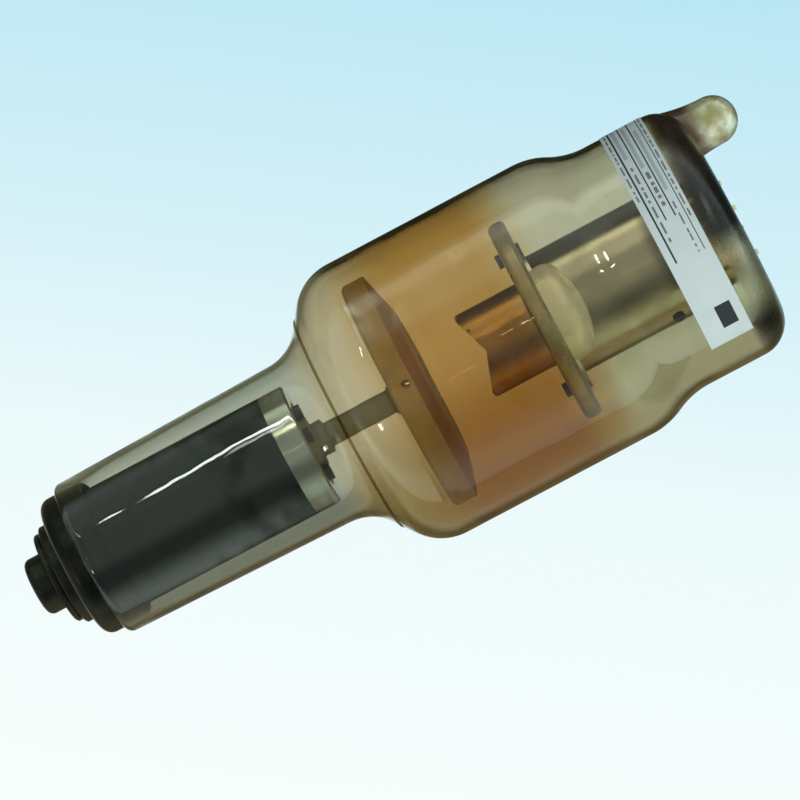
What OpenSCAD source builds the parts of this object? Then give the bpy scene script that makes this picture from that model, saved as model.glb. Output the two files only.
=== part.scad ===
// Rotating-anode x-ray tube: a glass vacuum insert with its motor rotor, target disc and cathode.
// Millimetres. X runs along the tube from the anode end to the cathode end. The beam leaves towards +Z,
// and the sealed exhaust tip stands on the +Y side. The origin is the centre of the anode end face.

/* [Glass envelope] */
// Thickness of the blown glass
glass_wall = 1.6; // [1.2:0.1:2]
// Outer radius of the neck at the anode ring
neck_end_r = 24.9; // [24.3:0.1:25.4]
// Outer radius of the neck where the flare starts
neck_r = 26.4; // [25.5:0.1:27.5]
// Length of the straight neck
neck_len = 74.1; // [72:0.1:84]
// Steepest angle of the flare
flare_angle = 54; // [46:1:60]
// Radius of the hollow curve from neck to flare
neck_round = 14.8; // [12:0.1:17]
// Radius of the crown curve from flare to bulb
bulb_round = 17; // [14:0.1:19]
// Outer radius of the bulb
bulb_r = 45.3; // [43.5:0.1:48]
// Length of the bulb, its shoulder included
bulb_len = 84.5; // [78:0.1:94]
// Radius of both curves of the shoulder
shoulder_round = 24; // [16:0.5:32]
// Outer radius of the cathode end
cathode_r = 40; // [38:0.1:42]
// Length of the cathode end, its rounded corner included
cathode_len = 29.8; // [28:0.1:40]
// Radius of the rounded corner at the cathode end
end_round = 11; // [9:0.1:12]

/* [Exhaust tip] */
// Radius of the sealed exhaust tip
tip_r = 7.6; // [6:0.1:8]
// Widening of the tip's root where it is fused to the bulb
tip_root = 3.2; // [1:0.1:3.2]
// Distance of the tip from the tube's axis
tip_offset = 29.1; // [27:0.1:29.1]
// Height of the tip above the end face
tip_height = 15.4; // [12:0.1:16]

/* [Anode end] */
// Radius of the mounting knob
knob_r = 9.1; // [8:0.1:10]
// Length of the mounting knob
knob_len = 6.7; // [4.6:0.1:8]
// Radius of the rounding on the knob's front edge
knob_round = 2.2; // [1:0.1:2.4]
// Radius of the clamp nut
clamp_r = 16; // [14:0.1:18]
// Length of the clamp nut
clamp_len = 5.6; // [4.4:0.1:8]
// Radius of the sealing ring's metal band
seal_r = 22.5; // [21.8:0.1:23]
// Length of the band outside the glass
band_len = 6.4; // [5:0.1:10]
// Radius of the rounding on the band's front edge
band_round = 3.6; // [1.5:0.1:4]
// Wall of the sealing ring
seal_wall = 0.8; // [0.5:0.1:1]
// Length of the sealing ring inside the glass
seal_depth = 8.5; // [6:0.1:11]
// Radius of the housing's clamped shank
shank_r = 6; // [5.5:0.1:6.3]
// Radius of the tapped mounting hole (M6 thread, 5 mm core)
mount_hole_r = 2.5; // [2:0.1:3.3]
// Depth of the tapped mounting hole
mount_hole_depth = 12; // [8:0.5:16]

/* [Bearings] */
// Outer radius of the bearing housing
housing_r = 13.5; // [13:0.1:14.2]
// Outer radius of the ball races
race_r = 11; // [10.6:0.1:11.4]
// Width of each ball race
race_w = 8; // [7:0.1:9]
// Diameter of the balls
ball_d = 4.76; // [4.4:0.01:4.9]
// Balls in each row
ball_count = 8; // [6:1:8]
// Radius of the circle through the ball centres
ball_pitch_r = 6.9; // [6.8:0.05:7.1]
// Distance between the two rows of balls
bearing_span = 38; // [30:0.5:40]
// Height of the preload disc spring
spring_h = 1.2; // [0.9:0.1:1.6]
// Thickness of the disc spring
spring_t = 0.5; // [0.4:0.05:0.6]

/* [Rotor] */
// Outer radius of the rotor
rotor_r = 19.5; // [18.5:0.1:20.5]
// Wall of the rotor's copper sleeve
copper_wall = 2; // [1.5:0.1:2.5]
// Wall of the rotor's steel core
core_wall = 2.5; // [2:0.1:2.9]
// Length of the copper sleeve
rotor_len = 62.7; // [61.5:0.1:66]
// Gap between the sealing plug and the rotor
rotor_gap = 4.5; // [3.5:0.1:6]
// Thickness of the rotor hub, seen as a bright ring
hub_len = 8.3; // [7:0.1:10]
// Radius of the circle through the hub screws
hub_screw_pcr = 10.4; // [10:0.1:10.8]

/* [Target] */
// Radius of the molybdenum stem
stem_r = 3.8; // [3:0.1:4.5]
// Length of the stem between hub and target
stem_len = 29; // [20:0.1:32]
// Radius of the target disc
target_r = 37; // [34:0.1:39]
// Width of the target's rim
rim_w = 7.5; // [5:0.1:8]
// Angle of the bevelled focal track
track_angle = 15; // [8:0.5:17]
// Inner radius of the bevel
track_inner_r = 24; // [18:0.5:25]
// Thickness of the tungsten layer
track_t = 1; // [0.7:0.1:1.5]

/* [Cathode] */
// Distance from the target's bevel corner to the focus cup
cup_gap = 15.4; // [13:0.1:20]
// Radius of the focus cup
cup_r = 13.4; // [13.2:0.1:14.5]
// Depth of the focus cup
cup_len = 20.4; // [18:0.1:24]
// Distance of the cup from the tube's axis
cup_offset = 19.6; // [18.5:0.1:20.5]
// Slope of the cup's two faces
cup_angle = 20; // [14:1:22]
// Depth of the notch between the faces
cup_notch = 4.2; // [3:0.1:4.6]
// Distance of each filament from the notch
filament_y = 5.5; // [5.2:0.1:6]
// Distance of the filaments from the tube's axis
filament_offset = 24.5; // [24:0.1:25]
// Radius of the round shield flange
flange_r = 32.5; // [30.5:0.1:34]
// Thickness of the shield flange
flange_t = 5.5; // [4:0.1:7]
// Radius of the circle through the flange screws
flange_screw_pcr = 21.6; // [21.6:0.1:22.4]
// Outer radius of the cathode sleeve
sleeve_r = 19.5; // [19.1:0.1:19.6]
// Length of the cathode sleeve
sleeve_len = 46; // [43:0.5:50]
// Wall of the cathode sleeve
sleeve_wall = 0.6; // [0.4:0.1:0.8]
// Radius of the domed cover over the leads
cover_r = 15.2; // [14.6:0.1:15.4]
// Distance of the cover from the tube's axis
cover_offset = 15.6; // [14.8:0.1:15.8]
// Depth of the domed cover
cover_len = 10.6; // [10:0.1:12]

/* [Glass stem] */
// Inner radius of the re-entrant stem
stem_bore_r = 15.6; // [15.2:0.1:15.7]
// Depth of the recess at the cathode end
recess_depth = 30; // [28:0.1:33]
// Thickness of the glass disc that carries the pins
stem_disc_t = 3.5; // [2.5:0.1:5]
// Radius of the lead pins
pin_r = 0.8; // [0.6:0.05:1]
// Radius of the circle through the pins
pin_pcr = 12; // [11.7:0.1:12.4]
// Length of pin beyond the end face
pin_out = 1.6; // [0:0.1:4]

/* [Label] */
// Width of the paper label along the tube
label_w = 13.8; // [10:0.1:18]
// Thickness of the label
label_t = 0.15; // [0.1:0.05:0.3]
// Angle that the label goes round the glass
label_sweep = 150; // [60:5:200]

/* [Hidden] */
$fn = 72;

// Clearances
seat = 0.02;        // radial clearance of pieces that are brazed, pressed or screwed together
ball_play = 0.05;   // between a ball and its grooves
spin_gap = 1;       // between what turns and what stands still
joint_gap = 0.3;    // between faces that turn close to each other
cut = 1;            // how far a cutter runs past the face that it cuts

// Stations along the axis, from the anode end
clamp_x = knob_len;
band_x = clamp_x + clamp_len;
neck_x = band_x + band_len;
seal_end_x = neck_x + seal_depth;
seal_taper = 9;                    // length over which the glass thins from the seal
flare_x = neck_x + neck_len;
flare_slope = (bulb_r - neck_r - (neck_round + bulb_round) * (1 - cos(flare_angle))) / sin(flare_angle);
bulb_x = flare_x + (neck_round + bulb_round) * sin(flare_angle) + flare_slope * cos(flare_angle);
weld_x = flare_x + (neck_round + glass_wall) * sin(flare_angle) + 0.2;
shoulder_angle = acos(1 - (bulb_r - cathode_r) / (2 * shoulder_round));
cathode_x = bulb_x + bulb_len;
shoulder_x = cathode_x - 2 * shoulder_round * sin(shoulder_angle);
end_x = cathode_x + cathode_len;

rotor_x = neck_x + rotor_gap;
hub_x = rotor_x + rotor_len;
stem_x = hub_x + hub_len;
target_x = stem_x + stem_len;
rim_x = target_x + rim_w;
face_x = rim_x + (target_r - track_inner_r) * tan(track_angle);

cup_x = face_x + cup_gap;
notch_x = cup_x + cup_notch;
flange_x = cup_x + cup_len;
sleeve_x = flange_x + flange_t;

// Bearing stack inside the housing
flange_gap = 1.2;                  // from the housing's mouth to the shaft flange
shaft_flange_t = 3.5;
shaft_flange_r = 13;
lock_w = 2.8;                      // width of the retaining ring
mouth_x = hub_x - shaft_flange_t - flange_gap;
front_race_x = mouth_x - lock_w - race_w;
front_ball_x = front_race_x + race_w / 2;
rear_ball_x = front_ball_x - bearing_span;
rear_race_x = rear_ball_x - race_w / 2;
spring_x = rear_race_x - spring_h;
spring_seat_r = 8.6;
groove_r = ball_d / 2 + ball_play;
shaft_land_r = ball_pitch_r - 1.3;
race_land_r = ball_pitch_r + 1.3;
shaft_end_x = rear_ball_x - 6;
pocket_x = shaft_end_x - 1;        // floor of the housing's bore
collar_x = neck_x + 3.5;           // end of the housing's wide collar

core_r = rotor_r - copper_wall - seat;
core_bore_r = core_r - core_wall;
shank_bore_r = shank_r + seat;
plug_r = seal_r - seal_wall - seat;

// Screws and small parts
screw_r = 1.5;
screw_head_r = 2.4;
screw_head_h = 2.8;
hex_r = 1.3;
small_screw_r = 1.25;
small_head_r = 2.2;
small_head_h = 1.8;
hub_screw_turn = 15;
hub_screw_count = 4;
stem_collar_r = 8;
stem_collar_t = 3;
stem_step_r = 5.4;
stem_step_t = 4;
target_collar_r = 5;
target_collar_t = 1.5;
nut_r = 7.5;
nut_t = 3.2;                       // sunk into the disc's front face
balance_hole_r = 1.2;
balance_hole_depth = 3;

// Cathode details
cup_wall = 1;
cavity_len = 6.9;                  // hollow back of the cup
spigot_r = 8;
spigot_bore_r = 6.6;
spigot_len = flange_t + 1.1;
coil_sink = 1.2;                   // depth of a coil's axis below the cup's face
large_len = 8.1;
small_len = 6;
insulator_r = 1.5;
insulator_bore_r = 0.45;
insulator_x = notch_x + 3.6;
cavity_x = flange_x - cavity_len;
insulator_end_x = cavity_x + 1.4;
leg_end_x = insulator_end_x + 0.9;
wire_r = 0.5;
foot_r = flange_screw_pcr + 2.8;
foot_t = 1;
window_r = spigot_r + 0.2;
window_len = cover_len - 2;
cover_wall = 0.8;
cover_round = 5.5;
crown_r = 28;
collar_gap = 20;                   // from the sleeve's end back to the collar
sleeve_end_x = sleeve_x + sleeve_len;
stem_end_x = end_x - recess_depth;  // outer face of the glass disc
disc_x = stem_end_x - stem_disc_t;  // vacuum face of the glass disc
stem_outer_r = stem_bore_r + glass_wall;
stem_lip = 4;
stem_joint_r = stem_bore_r + stem_lip + 4.4;
collar_len = 12;
collar_start_x = disc_x + 0.5;
sleeve_screw_x = collar_start_x + 4.5;
sleeve_screw_turn = 114;
wire_drop = 6.5;                   // depth of the wires below the sleeve's surface at the window
tip_crown_turn = 82;               // where the tip's round crown takes over from its side
bead_r = 2.3;
bead_h = 1.6;
pin_turn = 15;
pin_in = 2.5;
pin_seal_r = pin_r - 0.3;          // thinner length that is sealed into the glass
label_x = end_x - end_round - label_w;
label_start = 100;                 // degrees from +Z towards +Y

// Points [x, r] of an arc round [cx, cr] from angle a to angle b
function arc(cx, cr, r, a, b, steps = 12) =
  [for (i = [0:steps]) let (t = a + (b - a) * i / steps) [cx + r * cos(t), cr + r * sin(t)]];

function reversed(p) = [for (i = [len(p) - 1:-1:0]) p[i]];

// Radius on the flare's straight stretch, at depth w below the outer surface
function slope_r(x, w) =
  neck_r + neck_round - (neck_round + w) * cos(flare_angle)
  + (x - flare_x - (neck_round + w) * sin(flare_angle)) * tan(flare_angle);

// The bulb's outline from the weld to the cathode end, at depth w below the outer surface
function bulb_line(w) = concat(
  [[weld_x, slope_r(weld_x, w)]],
  arc(bulb_x, bulb_r - bulb_round, bulb_round - w, 90 + flare_angle, 90),
  arc(shoulder_x, bulb_r - shoulder_round, shoulder_round - w, 90, 90 - shoulder_angle),
  arc(cathode_x, cathode_r + shoulder_round, shoulder_round + w, -90 - shoulder_angle, -90),
  arc(end_x - end_round, cathode_r - end_round, end_round - w, 90, 0),
  [[end_x - w, stem_joint_r]]);

// A body turned about the X axis from points [x, r]
module turned(points) {
  rotate([0, 90, 0])
    rotate_extrude()
      polygon([for (p = points) [p[1], p[0]]]);
}

// A ring or disc about the X axis, with chamfered outer edges
module ring(x, length, outer, inner = 0, chamfer = 0) {
  turned([
    [x, inner], [x, outer - chamfer], [x + chamfer, outer],
    [x + length - chamfer, outer], [x + length, outer - chamfer], [x + length, inner]]);
}

// A cylinder along X through [y, z]
module along_x(x, length, r, y = 0, z = 0) {
  translate([x, y, z])
    rotate([0, 90, 0])
      cylinder(h = length, r = r);
}

// Children placed at count places round the X axis, on a circle of radius r, the first at angle turn
module around(count, r, turn = 0) {
  for (i = [0:count - 1])
    rotate([-turn - 360 / count * i, 0, 0])
      translate([0, 0, r])
        children();
}

// A socket head screw along X, its head towards -X or +X
module cap_screw(x, shank, head_r, head_h, body_r, socket_r, towards) {
  head_x = towards > 0 ? x : x - head_h;
  socket_x = towards > 0 ? x + head_h / 2 : x - head_h - cut;
  difference() {
    union() {
      along_x(head_x, head_h, head_r);
      along_x(towards > 0 ? x - shank : x, shank, body_r);
    }
    translate([socket_x, 0, 0])
      rotate([0, 90, 0])
        cylinder(h = head_h / 2 + cut, r = socket_r, $fn = 6);
  }
}

// A path of points with each inner corner replaced by a curve that starts d before it
function eased(p, d, steps = 4) = concat(
  [p[0]],
  [for (i = [1:len(p) - 2])
    let (a = p[i] + d * (p[i - 1] - p[i]) / norm(p[i - 1] - p[i]),
         b = p[i] + d * (p[i + 1] - p[i]) / norm(p[i + 1] - p[i]))
      for (k = [0:steps]) let (t = k / steps) (1 - t) * (1 - t) * a + 2 * t * (1 - t) * p[i] + t * t * b],
  [p[len(p) - 1]]);

// Anode end

module mount_knob() {
  color("dimgray")
    turned(concat(
      [[0, shank_bore_r]],
      arc(knob_round, knob_r - knob_round, knob_round, 180, 90, 8),
      [[clamp_x - 0.8, knob_r], [clamp_x, knob_r - 0.8], [clamp_x, shank_bore_r]]));
}

module clamp_nut() {
  lip = clamp_len * 0.28;
  color("darkslategray")
    difference() {
      turned([
        [clamp_x, shank_bore_r], [clamp_x, clamp_r - 2], [clamp_x + 0.5, clamp_r - 1.5],
        [clamp_x + lip, clamp_r - 1.5], [clamp_x + lip, clamp_r - 2.4],
        [clamp_x + lip + 0.8, clamp_r - 2.4], [clamp_x + lip + 0.8, clamp_r - 0.5],
        [clamp_x + lip + 1.3, clamp_r], [band_x - 0.5, clamp_r], [band_x, clamp_r - 0.5],
        [band_x, shank_bore_r]]);
      around(2, knob_r + (clamp_r - knob_r) * 0.38)
        along_x(clamp_x - cut, 2.5 + cut, 1.3);
    }
}

module seal_ring() {
  round_x = band_x + band_round;
  round_r = seal_r - band_round;
  color("dimgray")
    turned(concat(
      arc(round_x, round_r, band_round, 180, 90, 8),
      [[seal_end_x - 0.3, seal_r], [seal_end_x, seal_r - seal_wall / 2],
       [seal_end_x, seal_r - seal_wall]],
      arc(round_x, round_r, band_round - seal_wall, 90, 180, 8)));
}

module anode_plug() {
  // Its front edge is rounded to lie inside the sealing ring's rounded edge
  round_r = seal_r - band_round;
  inner_round = band_round - seal_wall - seat;
  color("rosybrown")
    turned(concat(
      [[band_x, shank_bore_r], [band_x, round_r - seat], [band_x + seal_wall + seat, round_r - seat]],
      arc(band_x + band_round, round_r, inner_round, 180, 90, 8),
      [[neck_x, plug_r], [neck_x, shank_bore_r]]));
}

module bearing_housing() {
  bore_r = race_r + seat;
  color("slategray")
    difference() {
      turned([
        [0, 0], [0, shank_r - 0.4], [0.4, shank_r], [neck_x, shank_r],
        [neck_x, shank_r * 2], [collar_x, shank_r * 2], [collar_x + 1, housing_r],
        [mouth_x - 0.4, housing_r], [mouth_x, housing_r - 0.4], [mouth_x, bore_r],
        [spring_x, bore_r], [spring_x, spring_seat_r], [pocket_x, spring_seat_r], [pocket_x, 0]]);
      along_x(-cut, mount_hole_depth + cut, mount_hole_r);
    }
}

// Bearings

module preload_spring() {
  color("silver")
    turned([
      [spring_x, race_r - 0.4], [spring_x, race_r - 0.4 - spring_t / 2],
      [rear_race_x - spring_t, spring_seat_r + 0.3], [rear_race_x, spring_seat_r + 0.3],
      [rear_race_x, spring_seat_r + 0.3 + spring_t / 2], [spring_x + spring_t, race_r - 0.4]]);
}

module outer_race(x) {
  difference() {
    ring(x, race_w, race_r, race_land_r, 0.4);
    translate([x + race_w / 2, 0, 0])
      rotate([0, 90, 0])
        rotate_extrude()
          translate([ball_pitch_r, 0])
            circle(r = groove_r);
  }
}

module rear_race() {
  color("lightsteelblue")
    outer_race(rear_race_x);
}

module front_race() {
  color("lightsteelblue")
    outer_race(front_race_x);
}

module race_spacer() {
  color("gray")
    ring(rear_race_x + race_w, front_race_x - rear_race_x - race_w, race_r, race_r - 1.8);
}

module retaining_ring() {
  color("gray")
    difference() {
      ring(front_race_x + race_w, lock_w, race_r, race_land_r, 0.3);
      around(4, race_r)
        translate([mouth_x - 1.2, -1, -2])
          cube([1.2 + cut, 2, 4]);
    }
}

module ball_row(x) {
  around(ball_count, ball_pitch_r)
    translate([x, 0, 0])
      sphere(r = ball_d / 2);
}

module rear_balls() {
  color("whitesmoke")
    ball_row(rear_ball_x);
}

module front_balls() {
  color("whitesmoke")
    ball_row(front_ball_x);
}

module bearing_shaft() {
  waist_r = shaft_land_r - 0.8;
  land = race_w / 2 + 0.5;
  color("lightgray")
    difference() {
      turned([
        [shaft_end_x, 0], [shaft_end_x, shaft_land_r - 1], [shaft_end_x + 1, shaft_land_r],
        [rear_ball_x + land, shaft_land_r], [rear_ball_x + land + 1, waist_r],
        [front_ball_x - land - 1, waist_r], [front_ball_x - land, shaft_land_r],
        [hub_x - shaft_flange_t, shaft_land_r], [hub_x - shaft_flange_t, shaft_flange_r - 0.4],
        [hub_x - shaft_flange_t + 0.4, shaft_flange_r], [hub_x, shaft_flange_r], [hub_x, 0]]);
      for (x = [rear_ball_x, front_ball_x])
        translate([x, 0, 0])
          rotate([0, 90, 0])
            rotate_extrude()
              translate([ball_pitch_r, 0])
                circle(r = groove_r);
      around(hub_screw_count, hub_screw_pcr, hub_screw_turn)
        along_x(hub_x - shaft_flange_t - cut, shaft_flange_t + 2 * cut, screw_r + seat);
    }
}

// Rotor

module rotor_core() {
  color("dimgray")
    ring(rotor_x, rotor_len, core_r, core_bore_r, 0.3);
}

module rotor_sleeve() {
  inner = rotor_r - copper_wall;
  color([0.13, 0.16, 0.15])
    turned([
      [rotor_x, inner], [rotor_x, rotor_r - 0.6], [rotor_x + 0.6, rotor_r],
      [hub_x, rotor_r], [hub_x, inner]]);
}

module rotor_hub() {
  spigot = 3;
  color("silver")
    difference() {
      turned([
        [hub_x, stem_r + seat], [hub_x, shaft_flange_r + 0.1],
        [hub_x - spigot, shaft_flange_r + 0.1], [hub_x - spigot, core_bore_r - seat],
        [hub_x, core_bore_r - seat], [hub_x, rotor_r], [stem_x - 0.7, rotor_r],
        [stem_x, rotor_r - 0.7], [stem_x, hub_screw_pcr + screw_head_r + 1.6],
        [stem_x - 1, hub_screw_pcr + screw_head_r + 1], [stem_x - 1, stem_r + seat]]);
      around(hub_screw_count, hub_screw_pcr, hub_screw_turn)
        along_x(hub_x - cut, hub_len + 2 * cut, screw_r + seat);
    }
}

module rotor_screws() {
  color("darkslategray")
    around(hub_screw_count, hub_screw_pcr, hub_screw_turn)
      cap_screw(stem_x - 1, hub_len - 1 + shaft_flange_t, screw_head_r, screw_head_h, screw_r, hex_r, 1);
}

// Target

module anode_stem() {
  collar_x = stem_x - 1;
  tip_x = face_x;
  color("gray")
    turned([
      [hub_x, 0], [hub_x, stem_r], [collar_x, stem_r], [collar_x, hub_screw_pcr - screw_head_r - 0.3],
      [collar_x + stem_collar_t, hub_screw_pcr - screw_head_r - 0.3],
      [collar_x + stem_collar_t, stem_step_r],
      [collar_x + stem_collar_t + stem_step_t, stem_step_r],
      [collar_x + stem_collar_t + stem_step_t + 0.8, stem_r],
      [target_x - target_collar_t - 1, stem_r], [target_x - target_collar_t, target_collar_r],
      [target_x, target_collar_r], [target_x, stem_r], [tip_x - 0.6, stem_r],
      [tip_x, stem_r - 0.6], [tip_x, 0]]);
}

// The bevel's height above the rim's plane at radius r
function bevel(r) = (target_r - r) * tan(track_angle);

module target_disc() {
  track_edge_r = track_inner_r + 1;
  rim_edge_r = target_r - 0.8;
  color([0.42, 0.38, 0.30])
    difference() {
      turned([
        [target_x, stem_r + seat], [target_x, target_r - 1], [target_x + 1, target_r],
        [rim_x, target_r], [rim_x + bevel(rim_edge_r), rim_edge_r],
        [rim_x + bevel(rim_edge_r) - track_t, rim_edge_r],
        [rim_x + bevel(track_edge_r) - track_t, track_edge_r],
        [rim_x + bevel(track_edge_r), track_edge_r], [face_x, track_inner_r],
        [face_x, nut_r + 1.5], [face_x - nut_t, nut_r + 1], [face_x - nut_t, stem_r + seat]]);
      rotate([-4, 0, 0])
        translate([rim_x - 2.2, 0, target_r - balance_hole_depth]) {
          cylinder(h = balance_hole_depth + cut, r = balance_hole_r);
          translate([0, 0, balance_hole_depth - 0.6])
            cylinder(h = 0.8, r1 = balance_hole_r, r2 = balance_hole_r + 0.8);
        }
    }
}

module focal_track() {
  inner = track_inner_r + 1 + seat;
  outer = target_r - 0.8 - seat;
  color([0.45, 0.34, 0.22])
    turned([
      [rim_x + bevel(inner) - track_t + seat, inner], [rim_x + bevel(inner), inner],
      [rim_x + bevel(outer), outer], [rim_x + bevel(outer) - track_t + seat, outer]]);
}

module target_nut() {
  nut_x = face_x - nut_t;
  color("gray")
    difference() {
      intersection() {
        along_x(nut_x, nut_t, nut_r, $fn = 6);
        turned([
          [nut_x, 0], [nut_x, nut_r], [nut_x + nut_t - 0.8, nut_r], [nut_x + nut_t, nut_r - 1.2],
          [nut_x + nut_t, 0]]);
      }
      along_x(nut_x - cut, nut_t + 2 * cut, stem_r + seat);
    }
}

// Cathode

// The frame of one filament's slot: the origin on the cup's face, -X out of the face
module cup_face(side) {
  y = filament_y - coil_sink * sin(cup_angle);
  translate([notch_x - y * tan(cup_angle), side * y, filament_offset])
    rotate([0, 0, side * cup_angle])
      children();
}

module slot(depth, width, length) {
  translate([-cup_notch, -width / 2, -length / 2])
    cube([depth + cup_notch, width, length]);
}

module focus_cup() {
  face_run = cup_notch / tan(cup_angle);
  color([0.55, 0.42, 0.28])
    difference() {
      union() {
        translate([0, 0, cup_offset])
          turned([
            [cup_x, 0], [cup_x, cup_r - 0.6], [cup_x + 0.6, cup_r], [flange_x, cup_r],
            [flange_x, 0]]);
        along_x(flange_x - cut, spigot_len + cut, spigot_r, 0, cup_offset);
      }
      translate([0, 0, cup_offset - cup_r - cut])
        linear_extrude(2 * (cup_r + cut))
          polygon([
            [notch_x, 0], [cup_x, face_run], [cup_x - cut, face_run], [cup_x - cut, -face_run],
            [cup_x, -face_run]]);
      cup_face(1) {
        slot(3, 3.4, large_len + 2.9);
        slot(1.2, 5.6, large_len + 4.9);
      }
      cup_face(-1) {
        slot(2.6, 2.8, small_len + 2.5);
        slot(1, 4.6, small_len + 4.3);
      }
      along_x(cavity_x, cavity_len - cup_wall, cup_r - cup_wall, 0, cup_offset);
      along_x(cavity_x, cavity_len + spigot_len + cut, spigot_bore_r, 0, cup_offset);
      for (end = [-1, 1]) {
        along_x(notch_x, cavity_x - notch_x + cut, insulator_r + seat, filament_y,
                filament_offset + end * large_len / 2);
        along_x(notch_x, cavity_x - notch_x + cut, insulator_r + seat, -filament_y,
                filament_offset + end * small_len / 2);
      }
    }
}

module filament_insulators() {
  color("white")
    for (side = [-1, 1], end = [-1, 1]) {
      z = filament_offset + end * (side > 0 ? large_len : small_len) / 2;
      difference() {
        along_x(insulator_x, insulator_end_x - insulator_x, insulator_r, side * filament_y, z);
        along_x(insulator_x - cut, insulator_end_x - insulator_x + 2 * cut, insulator_bore_r,
                side * filament_y, z);
      }
    }
}

// A tube of the given radius along a path of points, with sides facets
module swept(path, r, sides = 6) {
  last = len(path) - 1;
  function tangent(i) =
    let (d = path[min(i + 1, last)] - path[max(i - 1, 0)]) d / norm(d);
  function rim(i) =
    let (t = tangent(i), s = cross(t, [0, 0, 1]), u = s / norm(s), v = cross(u, t))
      [for (k = [0:sides - 1]) path[i] + r * (cos(360 * k / sides) * u + sin(360 * k / sides) * v)];
  points = [for (i = [0:last]) each rim(i)];
  walls = [for (i = [0:last - 1], k = [0:sides - 1])
    let (a = i * sides + k, b = i * sides + (k + 1) % sides)
      each [[a, a + sides, b], [b, a + sides, b + sides]]];
  near_cap = [for (k = [1:sides - 2]) [0, k, k + 1]];
  far_cap = [for (k = [1:sides - 2]) [last * sides, last * sides + k + 1, last * sides + k]];
  polyhedron(points, concat(walls, near_cap, far_cap));
}

// One tungsten filament: a leg, the coil and the other leg, drawn as one wire
module filament(side, length, turns, coil_r, thick) {
  coil_x = notch_x - (filament_y - coil_sink * sin(cup_angle)) * tan(cup_angle)
    + coil_sink * cos(cup_angle);
  steps = 12;
  centre = [coil_x, side * filament_y, filament_offset];
  coil = [for (i = [0:turns * steps])
    centre + [coil_r * cos(360 * i / steps), coil_r * sin(360 * i / steps),
              length * (i / (turns * steps) - 0.5)]];
  leg_a = [for (x = [leg_end_x, coil_x + coil_r + 1.2]) [x, centre[1], centre[2] - length / 2]];
  leg_b = [for (x = [coil_x + coil_r + 1.2, leg_end_x]) [x, centre[1], centre[2] + length / 2]];
  echo(least_gap_between_turns = length / turns - 2 * thick);
  swept(concat(leg_a, coil, leg_b), thick);
}

module large_filament() {
  color("lightgray")
    filament(1, large_len, 9, 0.85, 0.15);
}

module small_filament() {
  color("lightgray")
    filament(-1, small_len, 8, 0.6, 0.12);
}

module cathode_flange() {
  rim_round = min(2, flange_t / 2 - 0.2);
  color([0.52, 0.50, 0.42])
    difference() {
      turned(concat(
        [[flange_x, 0]],
        arc(flange_x + rim_round, flange_r - rim_round, rim_round, 180, 90, 8),
        [[sleeve_x - 1, flange_r], [sleeve_x, flange_r - 1], [sleeve_x, 0]]));
      along_x(flange_x - cut, flange_t + 2 * cut, spigot_r + seat, 0, cup_offset);
      flange_screw_places()
        along_x(flange_x - cut, flange_t + 2 * cut, small_screw_r + seat);
    }
}

// The three places of the flange screws, on the sides that the cup leaves free
module flange_screw_places() {
  for (angle = [90, 180, 270])
    rotate([angle, 0, 0])
      translate([0, 0, flange_screw_pcr])
        children();
}

module flange_screws() {
  color([0.35, 0.30, 0.24])
    flange_screw_places()
      cap_screw(flange_x, flange_t + foot_t - 0.2, small_head_r, small_head_h, small_screw_r, 1, -1);
}

// The domed cover: straight side, rounded edge and a shallow crown, at depth w below its surface
function cover_line(w) =
  let (
    edge = cover_r - cover_round,
    crown_a = asin(edge / (crown_r - cover_round)),
    apex_x = sleeve_x + cover_len,
    crown_x = apex_x - crown_r,
    round_x = crown_x + (crown_r - cover_round) * cos(crown_a))
  concat(
    [[sleeve_x, cover_r - w]],
    arc(round_x, edge, cover_round - w, 90, crown_a, 8),
    arc(crown_x, 0, crown_r - w, crown_a, 0, 8));

module lead_cover() {
  color("silver")
    difference() {
      translate([0, 0, cover_offset])
        turned(concat(cover_line(0), reversed(cover_line(cover_wall))));
      along_x(sleeve_x - cut, cover_len + 2 * cut, sleeve_r + seat);
      along_x(sleeve_x - cut, foot_t + cut + seat, foot_r + seat);
    }
}

module cathode_sleeve() {
  inner = sleeve_r - sleeve_wall;
  color([0.62, 0.62, 0.56])
    difference() {
      turned([
        [sleeve_x, inner], [sleeve_x, foot_r], [sleeve_x + foot_t, foot_r],
        [sleeve_x + foot_t, sleeve_r], [sleeve_end_x, sleeve_r], [sleeve_end_x, inner]]);
      along_x(sleeve_x - cut, window_len + cut, window_r, 0, cup_offset);
      flange_screw_places()
        along_x(sleeve_x - cut, foot_t + 2 * cut, small_screw_r + seat);
      sleeve_screw_places()
        cylinder(h = sleeve_wall + 4, r = small_screw_r + seat, center = true);
    }
}

// The two places of the screws that hold the sleeve on its collar
module sleeve_screw_places() {
  around(2, 0, sleeve_screw_turn)
    translate([sleeve_screw_x, 0, sleeve_r])
      children();
}

module sleeve_screws() {
  shank = sleeve_wall + 1.2;
  color([0.3, 0.3, 0.26])
    sleeve_screw_places()
      difference() {
        union() {
          translate([0, 0, seat])
            cylinder(h = 0.9, r = small_head_r - 0.3);
          translate([0, 0, -shank])
            cylinder(h = shank + cut / 2, r = small_screw_r);
        }
        translate([0, 0, 0.4])
          cylinder(h = cut, r = 0.8, $fn = 6);
      }
}

module support_collar() {
  color("darkgray")
    difference() {
      ring(collar_start_x, collar_len, sleeve_r - sleeve_wall - seat, stem_outer_r + seat, 0.3);
      sleeve_screw_places()
        cylinder(h = 2 * (sleeve_wall + 1.5), r = small_screw_r + seat, center = true);
    }
}

// Where the wire of one filament leg starts, and the pin that it goes to, counted round from +Z
function leg_place(side, end) =
  [leg_end_x, side * filament_y, filament_offset + end * (side > 0 ? large_len : small_len) / 2];

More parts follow.
